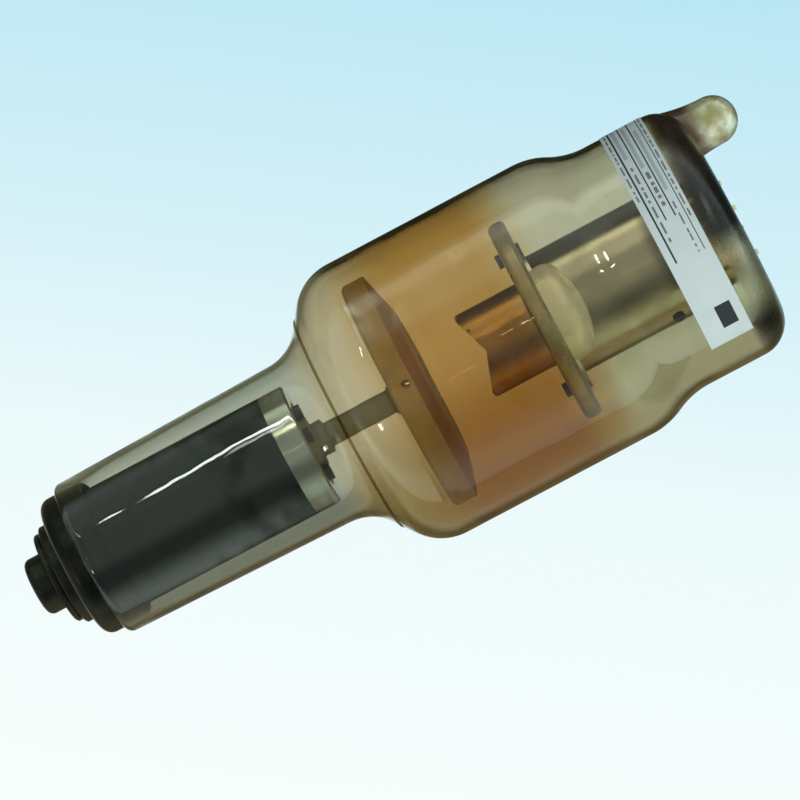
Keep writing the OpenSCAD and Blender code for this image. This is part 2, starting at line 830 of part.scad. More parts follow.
function pin_place(index) =
  let (a = pin_turn + 90 * index) [0, pin_pcr * sin(a), pin_pcr * cos(a)];

module lead_wires() {
  // Each lead: side and end of its filament leg, its place in the sleeve's window, and its pin
  leads = [[1, 1, 2.5, 0], [1, -1, 5.5, 1], [-1, -1, -2.5, 2], [-1, 1, -5.5, 3]];
  bend_x = leg_end_x + 1.6;
  cover_x = sleeve_x + 2.4;
  window_x = sleeve_x + window_len - 1;
  pin_x = disc_x - pin_in;
  color("goldenrod")
    for (lead = leads) {
      start = leg_place(lead[0], lead[1]);
      pin = pin_place(lead[3]);
      swept(eased([
        start, [bend_x, start[1], start[2]],
        [bend_x + 1.7, lead[0] * 2.6, cup_offset + lead[1] * 2.6],
        [cover_x, lead[0] * 3, cup_offset + lead[1] * 3], [window_x, lead[2], sleeve_r - wire_drop],
        [pin_x - 4, pin[1], pin[2]], [pin_x, pin[1], pin[2]]], 1.2), wire_r, 8);
    }
}

// Glass

module stem_glass() {
  color([0.72, 0.76, 0.62, 0.4])
    difference() {
      union() {
        turned(concat(
          [[disc_x, 0], [disc_x, stem_outer_r]],
          arc(end_x - stem_lip, stem_bore_r + stem_lip, stem_lip - glass_wall, -90, 0, 8),
          [[end_x - glass_wall, stem_joint_r - seat], [end_x, stem_joint_r - seat]],
          arc(end_x - stem_lip, stem_bore_r + stem_lip, stem_lip, 0, -90, 8),
          [[stem_end_x, stem_bore_r], [stem_end_x, 0]]));
        around(4, pin_pcr, pin_turn)
          along_x(stem_end_x - 0.5, bead_h + 0.5, bead_r);
      }
      around(4, pin_pcr, pin_turn)
        along_x(disc_x - cut, stem_disc_t + bead_h + 2 * cut, pin_seal_r + seat);
    }
}

module lead_pins() {
  start_x = disc_x - pin_in;
  plug_x = stem_end_x + bead_h + 1;
  color("silver")
    around(4, pin_pcr, pin_turn)
      turned([
        [start_x, 0], [start_x, pin_seal_r], [plug_x, pin_seal_r], [plug_x, pin_r],
        [end_x + pin_out - 0.4, pin_r], [end_x + pin_out, pin_r - 0.3], [end_x + pin_out, 0]]);
}

module neck_glass() {
  seat_r = seal_r + seat;
  end_bead = neck_end_r - seat_r;
  color([0.66, 0.70, 0.52, 0.4])
    turned(concat(
      arc(neck_x + end_bead, seat_r, end_bead, 180, 90, 8),
      arc(flare_x, neck_r + neck_round, neck_round, -90, -90 + flare_angle),
      [[weld_x, slope_r(weld_x, 0)], [weld_x, slope_r(weld_x, glass_wall)]],
      arc(flare_x, neck_r + neck_round, neck_round + glass_wall, -90 + flare_angle, -90),
      [[seal_end_x + seal_taper, max(seat_r, neck_end_r + 0.2 - glass_wall)], [seal_end_x, seat_r]]));
}

module bulb_glass() {
  color([0.72, 0.55, 0.30, 0.4])
    difference() {
      turned(concat(bulb_line(0), reversed(bulb_line(glass_wall))));
      along_x(end_x - end_round, end_round + cut, tip_r - glass_wall, tip_offset);
    }
}

// The tip's side, which widens towards its root, at depth w below its surface
function tip_side(base_x, crown_x, w, steps = 10) =
  [for (i = [0:steps]) let (u = i / steps)
    [base_x + (crown_x - base_x) * u, tip_r - w + tip_root * (1 - u) * (1 - u)]];

module exhaust_tip() {
  crown_x = end_x + tip_height - tip_r;
  base_x = end_x - end_round + 1;
  color([0.66, 0.62, 0.42, 0.5])
    difference() {
      translate([0, tip_offset, 0])
        turned(concat(
          tip_side(base_x, crown_x, 0),
          arc(crown_x, 0, tip_r, tip_crown_turn, 0, 12),
          [[crown_x + tip_r - 2 * glass_wall, 0]],
          reversed(tip_side(base_x, crown_x, glass_wall))));
      turned(concat([[weld_x, 0]], bulb_line(-seat), [[end_x + seat, 0]]));
    }
}

module label() {
  inner = cathode_r + seat;
  color([0.72, 0.74, 0.76])
    rotate([-label_start, 0, 0])
      rotate([90, 0, 90])
        translate([0, 0, label_x])
          rotate([0, 0, 90])
            rotate_extrude(angle = label_sweep)
              translate([inner, 0])
                square([label_t, label_w]);
}

mount_knob();
clamp_nut();
seal_ring();
anode_plug();
bearing_housing();
preload_spring();
rear_race();
race_spacer();
front_race();
retaining_ring();
rear_balls();
front_balls();
bearing_shaft();
rotor_core();
rotor_sleeve();
rotor_hub();
rotor_screws();
anode_stem();
target_disc();
focal_track();
target_nut();
focus_cup();
filament_insulators();
large_filament();
small_filament();
cathode_flange();
flange_screws();
lead_cover();
cathode_sleeve();
sleeve_screws();
support_collar();
lead_wires();
stem_glass();
lead_pins();
neck_glass();
bulb_glass();
exhaust_tip();
label();
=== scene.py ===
# %% [markdown]
# # A rotating-anode x-ray tube
# This script dresses a finished engineering model for a photograph. The solids come from the
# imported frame, and each one gets a procedural material. The glass envelope and its fused seam
# are built here in mesh code, and the printing on the label is part of the label's material.

# %% Load the frame
import math

import bmesh
import bpy
from mathutils import Matrix, Vector


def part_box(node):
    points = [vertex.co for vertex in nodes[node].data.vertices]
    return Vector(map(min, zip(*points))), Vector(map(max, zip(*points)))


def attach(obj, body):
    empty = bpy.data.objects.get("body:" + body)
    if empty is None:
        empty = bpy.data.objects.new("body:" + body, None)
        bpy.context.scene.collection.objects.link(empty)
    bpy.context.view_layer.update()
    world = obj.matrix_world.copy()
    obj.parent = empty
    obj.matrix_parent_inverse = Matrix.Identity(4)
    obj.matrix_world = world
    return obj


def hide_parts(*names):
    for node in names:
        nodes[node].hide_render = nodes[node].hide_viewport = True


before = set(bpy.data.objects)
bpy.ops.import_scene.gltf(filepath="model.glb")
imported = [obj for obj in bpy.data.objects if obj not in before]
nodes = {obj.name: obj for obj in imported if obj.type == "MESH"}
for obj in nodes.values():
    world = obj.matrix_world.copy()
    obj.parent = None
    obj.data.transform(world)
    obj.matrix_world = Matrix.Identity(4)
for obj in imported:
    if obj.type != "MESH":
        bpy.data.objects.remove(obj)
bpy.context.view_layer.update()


# %% [markdown]
# ## Places along the tube
# The envelope, the printing and the changes of colour are placed from the solids' own boxes.
# Only some measures of the glass, such as its wall and its rounds, are written out below.

# %% Measure the solids
MM = 0.001
LOW, HIGH = 0, 1


def start_of(node):
    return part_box(node)[LOW].x


def end_of(node):
    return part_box(node)[HIGH].x


weld_x = start_of("bulb_glass")
end_x = end_of("bulb_glass")
bulb_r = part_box("bulb_glass")[HIGH].z
neck_x = start_of("neck_glass")
target_x = start_of("target_disc")
flange_x = start_of("cathode_flange")
label_x = start_of("label")
label_end_x = end_of("label")
print("weld", weld_x, "flange", flange_x, "end", end_x)

# %% [markdown]
# ## Colour and node helpers
# Colours are read off a screen as sRGB numbers from 0 to 255. Blender's shaders want linear
# light, so one function converts them. A small class then keeps the shader trees short: each
# call adds one node and returns its output, so a pattern reads like a formula.

# %% Colours and node helpers


def srgb(r, g, b):
    def lin(c):
        c = c / 255
        return c / 12.92 if c <= 0.04045 else ((c + 0.055) / 1.055) ** 2.4
    return (lin(r), lin(g), lin(b), 1.0)


class Nodes:
    """Short calls that add and join the nodes of one shader tree."""

    def __init__(self, tree):
        self.tree = tree

    def add(self, kind, **settings):
        n = self.tree.nodes.new(kind)
        for key, value in settings.items():
            setattr(n, key, value)
        return n

    def link(self, a, b):
        self.tree.links.new(a, b)

    def value(self, node, inputs):
        """Sets or links a node's inputs by index and returns its first output."""
        for i, v in inputs.items():
            if isinstance(v, bpy.types.NodeSocket):
                self.link(v, node.inputs[i])
            elif v is not None:
                node.inputs[i].default_value = v
        return node.outputs[0]

    def math(self, op, a, b=None, c=None, clamp=False):
        n = self.add("ShaderNodeMath", operation=op, use_clamp=clamp)
        return self.value(n, {0: a, 1: b, 2: c})

    def split(self, vector):
        n = self.add("ShaderNodeSeparateXYZ")
        self.link(vector, n.inputs[0])
        return n.outputs[0], n.outputs[1], n.outputs[2]

    def span(self, value, low, high):
        """0 at low, 1 at high, smooth in between."""
        n = self.add("ShaderNodeMapRange", interpolation_type="SMOOTHSTEP")
        return self.value(n, {0: value, 1: low, 2: high, 3: 0.0, 4: 1.0})

    def mix(self, fac, a, b):
        n = self.add("ShaderNodeMix", data_type="RGBA")
        self.value(n, {0: fac, 6: a, 7: b})
        return n.outputs[2]

    def ramp(self, value, stops):
        """A colour that changes with value through (place, colour) stops."""
        low, high = stops[0][0], stops[-1][0]
        fade = self.add("ShaderNodeMapRange")
        n = self.add("ShaderNodeValToRGB")
        self.link(self.value(fade, {0: value, 1: low, 2: high, 3: 0.0, 4: 1.0}), n.inputs[0])
        points = n.color_ramp.elements
        points[1].position = 1.0
        for place, colour in stops[1:-1]:
            points.new((place - low) / (high - low))
        for point, (place, colour) in zip(points, stops):
            point.color = colour
        return n.outputs[0]


class Mat(Nodes):
    """A new material, with the nodes that a surface needs."""

    def __init__(self, name):
        self.mat = bpy.data.materials.new(name)
        self.mat.use_nodes = True
        super().__init__(self.mat.node_tree)
        self.tree.nodes.clear()
        self.out = self.add("ShaderNodeOutputMaterial")
        self.coords = self.add("ShaderNodeTexCoord")

    def shader(self, **sockets):
        n = self.add("ShaderNodeBsdfPrincipled")
        for key, value in sockets.items():
            n.inputs[key.replace("_", " ")].default_value = value
        self.link(n.outputs[0], self.out.inputs["Surface"])
        return n

    def position(self):
        return self.split(self.coords.outputs["Object"])

    def grazing(self, power):
        """0 where the surface faces the view, 1 at its outline."""
        n = self.add("ShaderNodeLayerWeight")
        n.inputs["Blend"].default_value = 0.5
        return self.math("POWER", n.outputs["Facing"], power, clamp=True)

    def noise(self, scale, detail=3.0, rough=0.5, stretch=(1, 1, 1)):
        mapping = self.add("ShaderNodeMapping")
        self.link(self.coords.outputs["Object"], mapping.inputs[0])
        mapping.inputs["Scale"].default_value = stretch
        n = self.add("ShaderNodeTexNoise")
        self.link(mapping.outputs[0], n.inputs["Vector"])
        n.inputs["Scale"].default_value = scale
        n.inputs["Detail"].default_value = detail
        n.inputs["Roughness"].default_value = rough
        return n.outputs["Fac"]

    def bump(self, bsdf, height, strength, distance):
        n = self.add("ShaderNodeBump")
        n.inputs["Strength"].default_value = strength
        n.inputs["Distance"].default_value = distance
        self.link(height, n.inputs["Height"])
        self.link(n.outputs[0], bsdf.inputs["Normal"])


print("helpers ready")

# %% [markdown]
# ## Glass
# The envelope is real glass with an index of refraction, so light bends in its walls and its
# edges turn dark. A colour multiplies the light each time it passes a wall: a thin film of
# metal that has boiled off the hot parts makes the bulb amber between target and flange.

# %% Glass colours
GLASS_IOR = 1.47
EDGE_POWER = 4.5
EDGE = srgb(76, 66, 36)
STEM_EDGE = srgb(96, 90, 60)
# The darker partners of the tints, used towards the low side, are painted shade
NECK = srgb(215, 214, 202)
NECK_WASH = srgb(222, 228, 208)
NECK_PAINTED_SHADE = srgb(164, 166, 156)
CLEAR = srgb(231, 218, 194)
AMBER = srgb(221, 186, 130)
AMBER_PAINTED_SHADE = srgb(181, 141, 86)
GREY = srgb(228, 214, 190)
GREY_PAINTED_SHADE = srgb(206, 197, 168)
SHADE = srgb(190, 172, 128)
# Painted light and shade across the cathode end's corner: (height across the end, colour)
RIM_LIGHT_AND_SHADE = [(-38 * MM, srgb(52, 48, 28)), (-28 * MM, srgb(72, 68, 42)),
       (-19 * MM, srgb(222, 214, 180)), (-6 * MM, srgb(252, 248, 230)),
       (3 * MM, srgb(60, 64, 62)), (14 * MM, srgb(42, 44, 42)), (26 * MM, srgb(104, 76, 54))]
RIM_START, RIM_FULL = 11.8 * MM, 7.5 * MM
# The neck's ripple, as a part of the bulb's
NECK_RIPPLE = 0.4
print("colour stops on the rim:", len(RIM_LIGHT_AND_SHADE))

# %% Glass materials


def glass(name, tint, edge, frost=None):
    m = Mat(name)
    bsdf = m.shader(Roughness=0.0, IOR=GLASS_IOR, Transmission_Weight=1.0)
    if frost:
        m.link(frost(m), bsdf.inputs["Roughness"])
    m.link(m.mix(m.grazing(EDGE_POWER), tint(m), edge), bsdf.inputs["Base Color"])
    # The wall ripples, less on the neck than on the bulb
    x, y, z = m.position()
    bulb = m.span(x, weld_x - 20 * MM, weld_x)
    depth = m.math("MULTIPLY_ADD", bulb, 1 - NECK_RIPPLE, NECK_RIPPLE)
    ripple = m.math("MULTIPLY", m.noise(26, detail=2, stretch=(1.4, 1, 1)), depth)
    m.bump(bsdf, ripple, strength=0.17, distance=4 * MM)
    return m.mat


def clear_tint(m):
    """Faint patches on the neck, and a warm clear tone from the flare on."""
    x, y, z = m.position()
    neck = m.mix(m.noise(14, detail=3), NECK, NECK_WASH)
    return m.mix(m.span(x, weld_x - 30 * MM, weld_x), neck, CLEAR)


def bulb_tint(m):
    """Clear neck, amber film from target to flange, painted light and shade on the cathode end."""
    x, y, z = m.position()
    # Painted shade: the tints grow darker towards the low side
    low = m.span(y, 12 * MM, -38 * MM)
    # Neck and flare, the neck darker on its low side: painted shade
    neck = m.mix(m.span(y, -8 * MM, -24 * MM), NECK, NECK_PAINTED_SHADE)
    flare = m.span(x, weld_x - 16 * MM, weld_x + 2 * MM)
    # Cathode end, with painted light and shade in bands across its corner
    rim = m.ramp(m.math("ADD", y, m.math("MULTIPLY", m.noise(60), 6 * MM)), RIM_LIGHT_AND_SHADE)
    edge = m.span(x, end_x - RIM_START, end_x - RIM_FULL)
    # Past the film, plain grey glass with painted shade on the low side
    grey = m.mix(m.span(y, 10 * MM, -20 * MM), GREY, GREY_PAINTED_SHADE)
    # The film rises over the target and ends in a wavy line past the flange. It reaches
    # further on the low side and on the side that faces down
    wave = m.math("MULTIPLY", m.math("SUBTRACT", m.noise(17, detail=4), 0.5), 16 * MM)
    along = m.math("ADD", x, wave)
    rise = m.span(along, target_x - 14 * MM, target_x + 16 * MM)
    late = m.math("MULTIPLY_ADD", low, -3 * MM, along)
    late = m.math("MULTIPLY_ADD", m.span(z, -10 * MM, 10 * MM), 7 * MM, late)
    fall = m.span(late, flange_x + 1 * MM, flange_x + 14 * MM)
    film = m.math("SUBTRACT", rise, fall, clamp=True)
    # Amber film and clear glass, both with painted shade on the low side
    amber = m.mix(low, AMBER, AMBER_PAINTED_SHADE)
    body = m.mix(fall, m.mix(low, CLEAR, SHADE), m.mix(edge, grey, rim))
    return m.mix(film, m.mix(flare, neck, body), amber)


def rim_frost(m):
    """Roughness: none, but a streaky haze on the corner of the cathode end."""
    x, y, z = m.position()
    streak = m.math("MULTIPLY_ADD", m.noise(90, stretch=(3, 1, 1)), 0.3, 0.12)
    return m.math("MULTIPLY", m.span(x, end_x - RIM_START, end_x - RIM_FULL), streak)


def seam_glass():
    """Nearly unbending glass, smoked only on the side that faces up."""
    m = Mat("seam_look")
    bsdf = m.shader(Roughness=0.1, IOR=1.02, Transmission_Weight=1.0)
    x, y, z = m.position()
    smoke = m.mix(m.noise(60), srgb(188, 180, 140), srgb(158, 148, 108))
    far_side = srgb(252, 251, 246)
    m.link(m.mix(m.span(z, -10 * MM, 12 * MM), far_side, smoke), bsdf.inputs["Base Color"])
    m.bump(bsdf, m.noise(120), strength=0.1, distance=0.4 * MM)
    return m.mat


def tip_glass():
    """Cloudy melted glass, brown at its root."""
    m = Mat("tip_glass_look")
    bsdf = m.shader(Roughness=0.2, IOR=GLASS_IOR, Transmission_Weight=0.72)
    x, y, z = m.position()
    cloud = m.span(m.noise(170, detail=4), 0.36, 0.66)
    melt = m.mix(cloud, srgb(186, 176, 124), srgb(251, 249, 230))
    root = m.math("ADD", x, m.math("MULTIPLY", m.noise(220), 6 * MM))
    body = m.mix(m.span(root, end_x + 9 * MM, end_x + 3 * MM), melt, srgb(118, 86, 60))
    m.link(m.mix(m.grazing(2.0), body, srgb(44, 40, 22)), bsdf.inputs["Base Color"])
    m.bump(bsdf, m.noise(300, detail=3), strength=0.25, distance=0.6 * MM)
    return m.mat


seam_look = seam_glass()
glass_tip = tip_glass()
glass_neck = glass("neck_glass_look", clear_tint, EDGE)
glass_bulb = glass("bulb_glass_look", bulb_tint, EDGE, rim_frost)
glass_stem = glass("stem_glass_look", clear_tint, STEM_EDGE)
print("glass ready")

# %% [markdown]
# ## Metals
# Each metal has two colours that mix in patches, a roughness that wanders with the same
# patches, and a fine bump. Turned pieces get grooves that run round the axis, because a lathe
# made them. Some are made less metallic, so that they scatter light as dull metal does.

# %% Metal materials
# Depth of the fine bump
FINE = 0.2 * MM
# Radians a metre, so one groove in 0.7 mm
GROOVES = 9000.0
# How far the roughness wanders
WANDER = 0.14


def metal(name, colour, second, rough, coat=0.0, metallic=1.0, turned=0.0, scale=60, shine=0.5):
    """A metal; turned is the strength of its grooves."""
    m = Mat(name)
    bsdf = m.shader(Metallic=metallic, Coat_Weight=coat, Coat_Roughness=0.12,
                    Specular_IOR_Level=shine)
    patch = m.noise(scale, detail=5, rough=0.6)
    m.link(m.mix(m.span(patch, 0.35, 0.7), colour, second), bsdf.inputs["Base Color"])
    spread = m.math("MULTIPLY_ADD", patch, WANDER, rough - WANDER / 2, clamp=True)
    m.link(spread, bsdf.inputs["Roughness"])
    if turned:
        x, y, z = m.position()
        rings = m.math("SINE", m.math("MULTIPLY", x, GROOVES))
        grain = m.math("ADD", m.math("MULTIPLY", rings, 0.5), patch)
        m.bump(bsdf, grain, strength=turned, distance=FINE)
    else:
        m.bump(bsdf, m.noise(scale * 9, detail=4), strength=0.15, distance=FINE)
    return m.mat


dark_steel = metal("dark_steel_look", srgb(33, 36, 31), srgb(54, 52, 42), 0.38, turned=0.1)
seal_metal = metal("seal_metal_look", srgb(30, 33, 29), srgb(50, 48, 38), 0.36, turned=0.08)
plain_steel = metal("plain_steel_look", srgb(150, 152, 146), srgb(124, 124, 116), 0.35, turned=0.2)
bright_steel = metal("bright_steel_look", srgb(228, 230, 222), srgb(198, 198, 184), 0.18,
                     turned=0.08)
cover_steel = metal("cover_steel_look", srgb(250, 250, 240), srgb(240, 238, 222), 0.26,
                    metallic=0.22)
ring_steel = metal("ring_steel_look", srgb(236, 236, 226), srgb(204, 202, 186), 0.13, turned=0.07)
polished = metal("polished_look", srgb(218, 220, 218), srgb(196, 198, 196), 0.08)
copper_black = metal("copper_black_look", srgb(5, 16, 11), srgb(9, 24, 16), 0.34, coat=0.05,
                     metallic=0.0, turned=0.02, scale=40, shine=0.08)
moly = metal("molybdenum_look", srgb(204, 195, 166), srgb(176, 166, 134), 0.5, metallic=0.12,
             turned=0.14)
stem_metal = metal("stem_look", srgb(166, 162, 136), srgb(138, 134, 110), 0.5, metallic=0.12,
                   turned=0.14)
track = metal("track_look", srgb(204, 160, 122), srgb(176, 132, 98), 0.45, metallic=0.5, turned=0.3)
cup_metal = metal("cup_metal_look", srgb(226, 212, 178), srgb(198, 176, 138), 0.3, turned=0.06)
flange_metal = metal("flange_metal_look", srgb(206, 204, 178), srgb(178, 172, 142), 0.28,
                     metallic=0.6, turned=0.12)
screw_metal = metal("screw_look", srgb(92, 80, 60), srgb(62, 54, 40), 0.35)
wire_metal = metal("wire_look", srgb(228, 220, 172), srgb(196, 184, 138), 0.3, metallic=0.7)
tungsten = metal("tungsten_look", srgb(150, 150, 148), srgb(110, 108, 104), 0.3)


def ceramic():
    m = Mat("ceramic_look")
    bsdf = m.shader(Roughness=0.55)
    m.link(m.mix(m.noise(90), srgb(232, 228, 214), srgb(206, 196, 172)), bsdf.inputs["Base Color"])
    m.bump(bsdf, m.noise(800, detail=4), strength=0.2, distance=FINE)
    return m.mat


ceramic_look = ceramic()
print("metals ready")

# %% [markdown]
# ## The label
# The paper carries only generic printing: ruled lines, grey bars, rows of short dashes and one
# black square. They are drawn by comparing the place along the label and the angle round the
# glass with fixed limits, so no image is needed.

# %% Label material
# Where the paper starts round the glass, and how far it goes
LABEL_START, LABEL_SWEEP = math.radians(-50), math.radians(150)
# Each row is the limits along the label, then the limits round the glass, from 0 to 1
BLACK = [(0.16, 0.20, 0.30, 0.94), (0.40, 0.43, 0.42, 0.94), (0.62, 0.65, 0.42, 0.94),
         (0.84, 0.86, 0.30, 0.94), (0.44, 0.80, 0.055, 0.135)]
BARS = [(0.24, 0.33, 0.66, 0.90), (0.47, 0.55, 0.60, 0.86), (0.69, 0.77, 0.50, 0.78)]
DASHES = [(0.26, 0.31, 0.36, 0.62), (0.49, 0.57, 0.46, 0.58), (0.70, 0.74, 0.30, 0.46),
          (0.90, 0.94, 0.40, 0.92), (0.07, 0.11, 0.50, 0.94)]
# Two waves of different length, which together break a row into uneven dashes
WAVES = (260.0, 113.0)
DASH_LEVEL = -0.5


def label_look():
    m = Mat("label_look")
    bsdf = m.shader(Roughness=0.6, Specular_IOR_Level=0.12)
    x, y, z = m.position()
    u = m.math("DIVIDE", m.math("SUBTRACT", x, label_x), label_end_x - label_x)
    angle = m.math("ARCTAN2", y, z)
    v = m.math("DIVIDE", m.math("SUBTRACT", angle, LABEL_START), LABEL_SWEEP)

    def between(value, a, b):
        return m.math("MULTIPLY", m.math("GREATER_THAN", value, a), m.math("LESS_THAN", value, b))

    def inside(rows):
        """1 inside any of the rows, 0 on the bare paper."""
        total = 0.0
        for u0, u1, v0, v1 in rows:
            block = m.math("MULTIPLY", between(u, u0, u1), between(v, v0, v1))
            total = m.math("MAXIMUM", total, block)
        return total

    beat = m.math("ADD", *(m.math("SINE", m.math("MULTIPLY", v, wave)) for wave in WAVES))
    dashes = m.math("MULTIPLY", inside(DASHES), m.math("GREATER_THAN", beat, DASH_LEVEL))
    marks = m.math("MAXIMUM", inside(BLACK), m.math("MULTIPLY", dashes, 0.75))
    paper = m.mix(m.noise(120, detail=4), srgb(146, 150, 152), srgb(134, 138, 142))
    inked = m.mix(m.math("MULTIPLY", inside(BARS), 0.6), paper, srgb(96, 102, 112))
    inked = m.mix(m.math("MULTIPLY", marks, 0.96), inked, srgb(16, 18, 22))
    m.link(inked, bsdf.inputs["Base Color"])
    m.bump(bsdf, m.noise(900, detail=3), strength=0.1, distance=0.1 * MM)
    return m.mat


paper_look = label_look()
print("label ready")

# %% [markdown]
# ## The envelope as one piece of glass
# The solids give the neck and the bulb as two blown parts. On the real tube the two are fused,
# and light crosses the seam without meeting a surface. Two touching meshes would show a black
# line there. So the script turns one closed outline about the tube's axis, with the same radii
# as the solids, and this piece replaces both.

# %% Outline of the envelope
WALL = 1.6 * MM
# Slope of the flare, in degrees
FLARE = 54
# Rounds between neck and flare, flare and bulb, at the shoulder and at the end
NECK_ROUND, BULB_ROUND, SHOULDER_ROUND, END_ROUND = 14.8 * MM, 17 * MM, 24 * MM, 11 * MM
# Outer radii, the last where the end face meets the stem glass
NECK_END_R, NECK_R, CATHODE_R, JOINT_R = 24.9 * MM, 26.4 * MM, 40 * MM, 24 * MM
NECK_LEN, CATHODE_LEN = 74.1 * MM, 29.8 * MM
# The wall's inside next to the seal ring
SEAL_TAPER, SEAL_STEP = 9 * MM, 0.2 * MM
CLEARANCE = 0.02 * MM
# Arcs whose ends are nearer than this have no straight line between them
SAME = 0.1 * MM
seal_end_x = end_of("seal_ring")
seat_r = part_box("seal_ring")[HIGH].z + CLEARANCE
flare_x = neck_x + NECK_LEN
cathode_x = end_x - CATHODE_LEN


def arc(cx, cr, r, a, b, steps=20):
    """Points of an arc about (cx, cr), from angle a to angle b in degrees."""
    turns = [math.radians(a + (b - a) * i / steps) for i in range(steps + 1)]
    return [(cx + r * math.cos(t), cr + r * math.sin(t)) for t in turns]


def straight(a, b, steps):
    """Points between a and b, without a and b themselves."""
    return [(a[0] + (b[0] - a[0]) * i / steps, a[1] + (b[1] - a[1]) * i / steps)
            for i in range(1, steps)]


def envelope_outline():
    """The outside from the seal to the stem glass, then the inside back, one wall deeper."""
    slope = math.radians(FLARE)
    rise = bulb_r - NECK_R - (NECK_ROUND + BULB_ROUND) * (1 - math.cos(slope))
    bulb_x = flare_x + (NECK_ROUND + BULB_ROUND) * math.sin(slope) + rise / math.tan(slope)
    turn = math.acos(1 - (bulb_r - CATHODE_R) / (2 * SHOULDER_ROUND))
    shoulder_x = cathode_x - 2 * SHOULDER_ROUND * math.sin(turn)
    turn = math.degrees(turn)

    def side(w):
        """From the flare to the end face, a depth of w inside the surface."""
        parts = [
            arc(flare_x, NECK_R + NECK_ROUND, NECK_ROUND + w, -90, -90 + FLARE),
            arc(bulb_x, bulb_r - BULB_ROUND, BULB_ROUND - w, 90 + FLARE, 90),
            arc(shoulder_x, bulb_r - SHOULDER_ROUND, SHOULDER_ROUND - w, 90, 90 - turn),
            arc(cathode_x, CATHODE_R + SHOULDER_ROUND, SHOULDER_ROUND + w, -90 - turn, -90),
            arc(end_x - END_ROUND, CATHODE_R - END_ROUND, END_ROUND - w, 90, 0)]
        line = list(parts[0])
        for part in parts[1:]:
            joined = math.dist(line[-1], part[0]) < SAME
            line += part[1:] if joined else straight(line[-1], part[0], 8) + part
        return line + [(end_x - w, JOINT_R)]

    bead = NECK_END_R - seat_r
    outer = arc(neck_x + bead, seat_r, bead, 180, 90, 10)
    outer += straight(outer[-1], (flare_x, NECK_R), 12) + side(0)
    inner = side(WALL)[::-1] + [
        (seal_end_x + SEAL_TAPER, NECK_END_R + SEAL_STEP - WALL), (seal_end_x, seat_r)]
    return outer + inner


print("outline points:", len(envelope_outline()))

# %% Lathe


def lathe(name, outline, body, look, steps=160, sharp=35):
    """Turns a closed outline of (x, r) points about the tube's axis."""
    mesh = bpy.data.meshes.new(name)
    around = [(math.cos(2 * math.pi * k / steps), math.sin(2 * math.pi * k / steps))
              for k in range(steps)]
    verts = [(x, r * s, r * c) for x, r in outline for c, s in around]
    count = len(outline)
    faces = []
    for i in range(count):
        j = (i + 1) % count
        for k in range(steps):
            n = (k + 1) % steps
            faces.append((i * steps + k, j * steps + k, j * steps + n, i * steps + n))
    mesh.from_pydata(verts, [], faces)
    bm = bmesh.new()
    bm.from_mesh(mesh)
    bmesh.ops.recalc_face_normals(bm, faces=bm.faces)
    bm.to_mesh(mesh)
    bm.free()
    mesh.polygons.foreach_set("use_smooth", [True] * len(mesh.polygons))
    mesh.set_sharp_from_angle(angle=math.radians(sharp))
    mesh.materials.append(look)
    piece = bpy.data.objects.new(name, mesh)
    bpy.context.scene.collection.objects.link(piece)
    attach(piece, body)
    print(name, len(mesh.vertices), "points")
    return piece


print("lathe ready")

# %% [markdown]
# ## The envelope and its fused seam
# The lathe now turns the envelope. Where the neck and the bulb were melted together, the glass
# has a low bead that looks darker than the rest: a thin ring of smoked glass on the seam.

# %% Envelope
envelope = lathe("glass_envelope", envelope_outline(), "tube", glass_bulb)
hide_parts("neck_glass", "bulb_glass")

# %% Fused seam
# Half the bead's width and height
SEAM_WIDE, SEAM_HIGH, SEAM_STEPS = 0.8 * MM, 0.3 * MM, 20
# So many points of the outline reach past the flare
FLARE_POINTS = 60


def radius_at(x):
    """Outer radius of the envelope at x, which lies on the neck or the flare."""
    line = envelope_outline()[:FLARE_POINTS]
    for a, b in zip(line, line[1:]):
        if a[0] <= x <= b[0]:
            return a[1] + (b[1] - a[1]) * (x - a[0]) / (b[0] - a[0])


lean = math.radians(FLARE)
weld_r = radius_at(weld_x)
bead_outline = []
for i in range(SEAM_STEPS):
    t = 2 * math.pi * i / SEAM_STEPS
    along, out = SEAM_WIDE * math.cos(t), SEAM_HIGH * math.sin(t)
    bead_outline.append((weld_x + along * math.cos(lean) - out * math.sin(lean),
                         weld_r + along * math.sin(lean) + out * math.cos(lean)))
lathe("fused_seam", bead_outline, "tube", seam_look, sharp=180)

# %% [markdown]
# ## Give every solid its material
# A table of names keeps this readable. The script stops if a solid has been forgotten.

# %% Assign materials
looks = {
    "mount_knob": dark_steel, "clamp_nut": dark_steel, "seal_ring": seal_metal,
    "anode_plug": seal_metal, "bearing_housing": plain_steel, "preload_spring": plain_steel,
    "rear_race": polished, "race_spacer": plain_steel, "front_race": polished,
    "retaining_ring": plain_steel, "rear_balls": polished, "front_balls": polished,
    "bearing_shaft": bright_steel, "rotor_core": plain_steel, "rotor_sleeve": copper_black,
    "rotor_hub": ring_steel, "rotor_screws": screw_metal, "anode_stem": stem_metal,
    "target_disc": moly, "focal_track": track, "target_nut": moly, "focus_cup": cup_metal,
    "filament_insulators": ceramic_look, "large_filament": tungsten,
    "small_filament": tungsten, "cathode_flange": flange_metal, "flange_screws": screw_metal,
    "lead_cover": cover_steel, "cathode_sleeve": bright_steel, "sleeve_screws": screw_metal,
    "support_collar": plain_steel, "lead_wires": wire_metal, "stem_glass": glass_stem,
    "lead_pins": wire_metal, "neck_glass": glass_neck, "bulb_glass": glass_bulb,
    "exhaust_tip": glass_tip, "label": paper_look}
for name, obj in nodes.items():
    obj.data.materials.clear()
    obj.data.materials.append(looks[name])
print("dressed:", len(looks))

